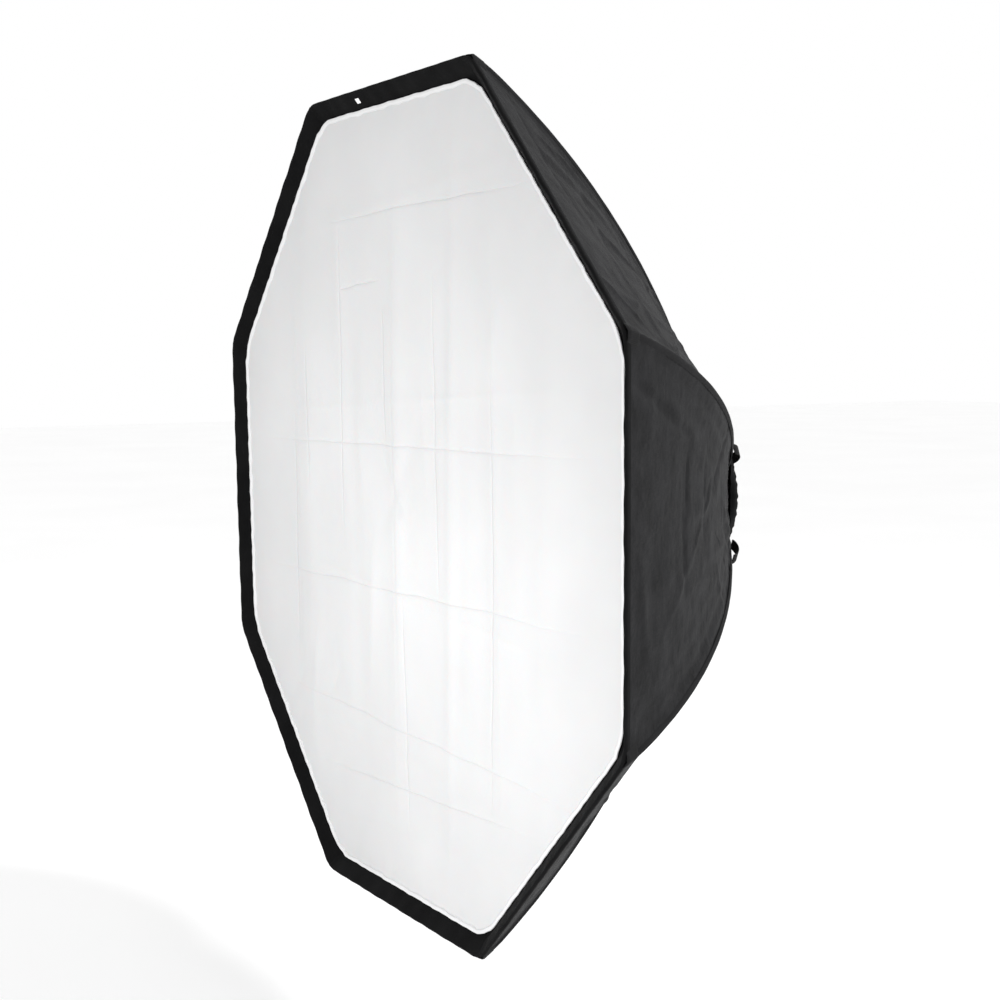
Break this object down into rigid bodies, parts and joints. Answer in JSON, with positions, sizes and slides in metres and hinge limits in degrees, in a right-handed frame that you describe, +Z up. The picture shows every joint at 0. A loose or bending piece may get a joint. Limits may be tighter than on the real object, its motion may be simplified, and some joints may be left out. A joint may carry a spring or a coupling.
{
  "type": "octagonal studio softbox",
  "caption": "Octagonal recessed studio softbox with folding spring-steel ribs on a rotating speed ring, black shell, silver lining and white front and inner diffusers.",
  "frame": {"origin": "centre of the mount insert's rear face, where the lamp clips on", "axes": "+Y along the light axis towards the lamp, so the white front faces -Y; +Z up; +X to the right seen from the front"},
  "size_m": [1.527, 0.7362, 1.527],
  "materials": {
    "black_nylon": "matte ripstop",
    "lip_nylon": "matte, dense",
    "silver_fabric": "silver coated",
    "white_diffuser": "translucent white",
    "inner_white": "translucent white",
    "webbing": "woven webbing",
    "piping_cloth": "matte binding",
    "elastic": "woven elastic",
    "cuff_cloth": "stretch cloth",
    "tag_white": "satin label",
    "cast_alloy": "satin cast",
    "insert_metal": "machined",
    "retainer_black": "black powder coat",
    "clevis_black": "black powder coat",
    "pin_steel": "polished",
    "screw_steel": "zinc plated",
    "spring_steel": "drawn rod",
    "arm_plastic": "fine texture",
    "pocket_plastic": "fine texture",
    "knob_plastic": "moulded grip"
  },
  "bodies": {
    "mount_insert": {"mount_insert": "insert_metal"},
    "speed_ring": {"speed_ring": "cast_alloy", "retainer_ring": "retainer_black", "retainer_screws": "screw_steel", "rib_clevises": "clevis_black", "hinge_pins": "pin_steel", "shell_gore_1": "black_nylon", "shell_gore_2": "black_nylon", "shell_gore_3": "black_nylon", "shell_gore_4": "black_nylon", "shell_gore_5": "black_nylon", "shell_gore_6": "black_nylon", "shell_gore_7": "black_nylon", "shell_gore_8": "black_nylon", "silver_lining": "silver_fabric", "front_lip": "lip_nylon", "seam_binding": "piping_cloth", "front_diffuser": "white_diffuser", "inner_baffle": "inner_white", "baffle_straps": "elastic", "hanging_loops": "webbing", "care_tag": "tag_white", "rear_cuff": "cuff_cloth", "cuff_flaps": "webbing"},
    "clamp_knob_1": {"clamp_knob_1": "knob_plastic"},
    "clamp_knob_2": {"clamp_knob_2": "knob_plastic"},
    "clamp_knob_3": {"clamp_knob_3": "knob_plastic"},
    "rib_1": {"rib_arm_1": "arm_plastic", "rib_rod_1": "spring_steel"},
    "corner_1": {"corner_pocket_1": "pocket_plastic"},
    "rib_2": {"rib_arm_2": "arm_plastic", "rib_rod_2": "spring_steel"},
    "corner_2": {"corner_pocket_2": "pocket_plastic"},
    "rib_3": {"rib_arm_3": "arm_plastic", "rib_rod_3": "spring_steel"},
    "corner_3": {"corner_pocket_3": "pocket_plastic"},
    "rib_4": {"rib_arm_4": "arm_plastic", "rib_rod_4": "spring_steel"},
    "corner_4": {"corner_pocket_4": "pocket_plastic"},
    "rib_5": {"rib_arm_5": "arm_plastic", "rib_rod_5": "spring_steel"},
    "corner_5": {"corner_pocket_5": "pocket_plastic"},
    "rib_6": {"rib_arm_6": "arm_plastic", "rib_rod_6": "spring_steel"},
    "corner_6": {"corner_pocket_6": "pocket_plastic"},
    "rib_7": {"rib_arm_7": "arm_plastic", "rib_rod_7": "spring_steel"},
    "corner_7": {"corner_pocket_7": "pocket_plastic"},
    "rib_8": {"rib_arm_8": "arm_plastic", "rib_rod_8": "spring_steel"},
    "corner_8": {"corner_pocket_8": "pocket_plastic"}
  },
  "joints": [
    {"name": "ring_turn", "type": "hinge", "parent": "mount_insert", "child": "speed_ring", "pos_m": [0, 0, 0], "axis": [0, 1, 0], "continuous": true},
    {"name": "knob_turn_1", "type": "hinge", "parent": "speed_ring", "child": "clamp_knob_1", "pos_m": [0, -0.036, 0.1], "axis": [0, 0, 1], "range_deg": [0, 180]},
    {"name": "knob_turn_2", "type": "hinge", "parent": "speed_ring", "child": "clamp_knob_2", "pos_m": [-0.07071, -0.036, -0.07071], "axis": [-0.7071, 0, -0.7071], "range_deg": [0, 180]},
    {"name": "knob_turn_3", "type": "hinge", "parent": "speed_ring", "child": "clamp_knob_3", "pos_m": [0.07071, -0.036, -0.07071], "axis": [0.7071, 0, -0.7071], "range_deg": [0, 180]},
    {"name": "rib_fold_1", "type": "hinge", "parent": "speed_ring", "child": "rib_1", "pos_m": [0.10394, -0.06422, 0.04305], "axis": [0.3827, 0, -0.9239], "range_deg": [0, 44], "deforming": ["shell_gore_1", "shell_gore_2", "shell_gore_3", "shell_gore_4", "shell_gore_5", "shell_gore_6", "shell_gore_7", "shell_gore_8", "silver_lining", "front_lip", "seam_binding", "front_diffuser", "inner_baffle", "baffle_straps", "hanging_loops", "care_tag"]},
    {"name": "rib_fold_2", "type": "hinge", "parent": "speed_ring", "child": "rib_2", "pos_m": [0.04305, -0.06422, 0.10394], "axis": [0.9239, 0, -0.3827], "range_deg": [0, 44]},
    {"name": "rib_fold_3", "type": "hinge", "parent": "speed_ring", "child": "rib_3", "pos_m": [-0.04305, -0.06422, 0.10394], "axis": [0.9239, 0, 0.3827], "range_deg": [0, 44]},
    {"name": "rib_fold_4", "type": "hinge", "parent": "speed_ring", "child": "rib_4", "pos_m": [-0.10394, -0.06422, 0.04305], "axis": [0.3827, 0, 0.9239], "range_deg": [0, 44]},
    {"name": "rib_fold_5", "type": "hinge", "parent": "speed_ring", "child": "rib_5", "pos_m": [-0.10394, -0.06422, -0.04305], "axis": [-0.3827, 0, 0.9239], "range_deg": [0, 44]},
    {"name": "rib_fold_6", "type": "hinge", "parent": "speed_ring", "child": "rib_6", "pos_m": [-0.04305, -0.06422, -0.10394], "axis": [-0.9239, 0, 0.3827], "range_deg": [0, 44]},
    {"name": "rib_fold_7", "type": "hinge", "parent": "speed_ring", "child": "rib_7", "pos_m": [0.04305, -0.06422, -0.10394], "axis": [-0.9239, 0, -0.3827], "range_deg": [0, 44]},
    {"name": "rib_fold_8", "type": "hinge", "parent": "speed_ring", "child": "rib_8", "pos_m": [0.10394, -0.06422, -0.04305], "axis": [-0.3827, 0, -0.9239], "range_deg": [0, 44]},
    {"name": "corner_swivel_1", "type": "hinge", "parent": "rib_1", "child": "corner_1", "pos_m": [0.7206, -0.693, 0.29848], "axis": [0.3827, 0, -0.9239], "range_deg": [0, 48]},
    {"name": "corner_swivel_2", "type": "hinge", "parent": "rib_2", "child": "corner_2", "pos_m": [0.29848, -0.693, 0.7206], "axis": [0.9239, 0, -0.3827], "range_deg": [0, 48]},
    {"name": "corner_swivel_3", "type": "hinge", "parent": "rib_3", "child": "corner_3", "pos_m": [-0.29848, -0.693, 0.7206], "axis": [0.9239, 0, 0.3827], "range_deg": [0, 48]},
    {"name": "corner_swivel_4", "type": "hinge", "parent": "rib_4", "child": "corner_4", "pos_m": [-0.7206, -0.693, 0.29848], "axis": [0.3827, 0, 0.9239], "range_deg": [0, 48]},
    {"name": "corner_swivel_5", "type": "hinge", "parent": "rib_5", "child": "corner_5", "pos_m": [-0.7206, -0.693, -0.29848], "axis": [-0.3827, 0, 0.9239], "range_deg": [0, 48]},
    {"name": "corner_swivel_6", "type": "hinge", "parent": "rib_6", "child": "corner_6", "pos_m": [-0.29848, -0.693, -0.7206], "axis": [-0.9239, 0, 0.3827], "range_deg": [0, 48]},
    {"name": "corner_swivel_7", "type": "hinge", "parent": "rib_7", "child": "corner_7", "pos_m": [0.29848, -0.693, -0.7206], "axis": [-0.9239, 0, -0.3827], "range_deg": [0, 48]},
    {"name": "corner_swivel_8", "type": "hinge", "parent": "rib_8", "child": "corner_8", "pos_m": [0.7206, -0.693, -0.29848], "axis": [-0.3827, 0, -0.9239], "range_deg": [0, 48]}
  ],
  "couplings": [
    {"joint": "rib_fold_2", "follows": "rib_fold_1", "ratio": 1},
    {"joint": "rib_fold_3", "follows": "rib_fold_1", "ratio": 1},
    {"joint": "rib_fold_4", "follows": "rib_fold_1", "ratio": 1},
    {"joint": "rib_fold_5", "follows": "rib_fold_1", "ratio": 1},
    {"joint": "rib_fold_6", "follows": "rib_fold_1", "ratio": 1},
    {"joint": "rib_fold_7", "follows": "rib_fold_1", "ratio": 1},
    {"joint": "rib_fold_8", "follows": "rib_fold_1", "ratio": 1},
    {"joint": "corner_swivel_1", "follows": "rib_fold_1", "ratio": 1.068},
    {"joint": "corner_swivel_2", "follows": "rib_fold_1", "ratio": 1.068},
    {"joint": "corner_swivel_3", "follows": "rib_fold_1", "ratio": 1.068},
    {"joint": "corner_swivel_4", "follows": "rib_fold_1", "ratio": 1.068},
    {"joint": "corner_swivel_5", "follows": "rib_fold_1", "ratio": 1.068},
    {"joint": "corner_swivel_6", "follows": "rib_fold_1", "ratio": 1.068},
    {"joint": "corner_swivel_7", "follows": "rib_fold_1", "ratio": 1.068},
    {"joint": "corner_swivel_8", "follows": "rib_fold_1", "ratio": 1.068}
  ]
}
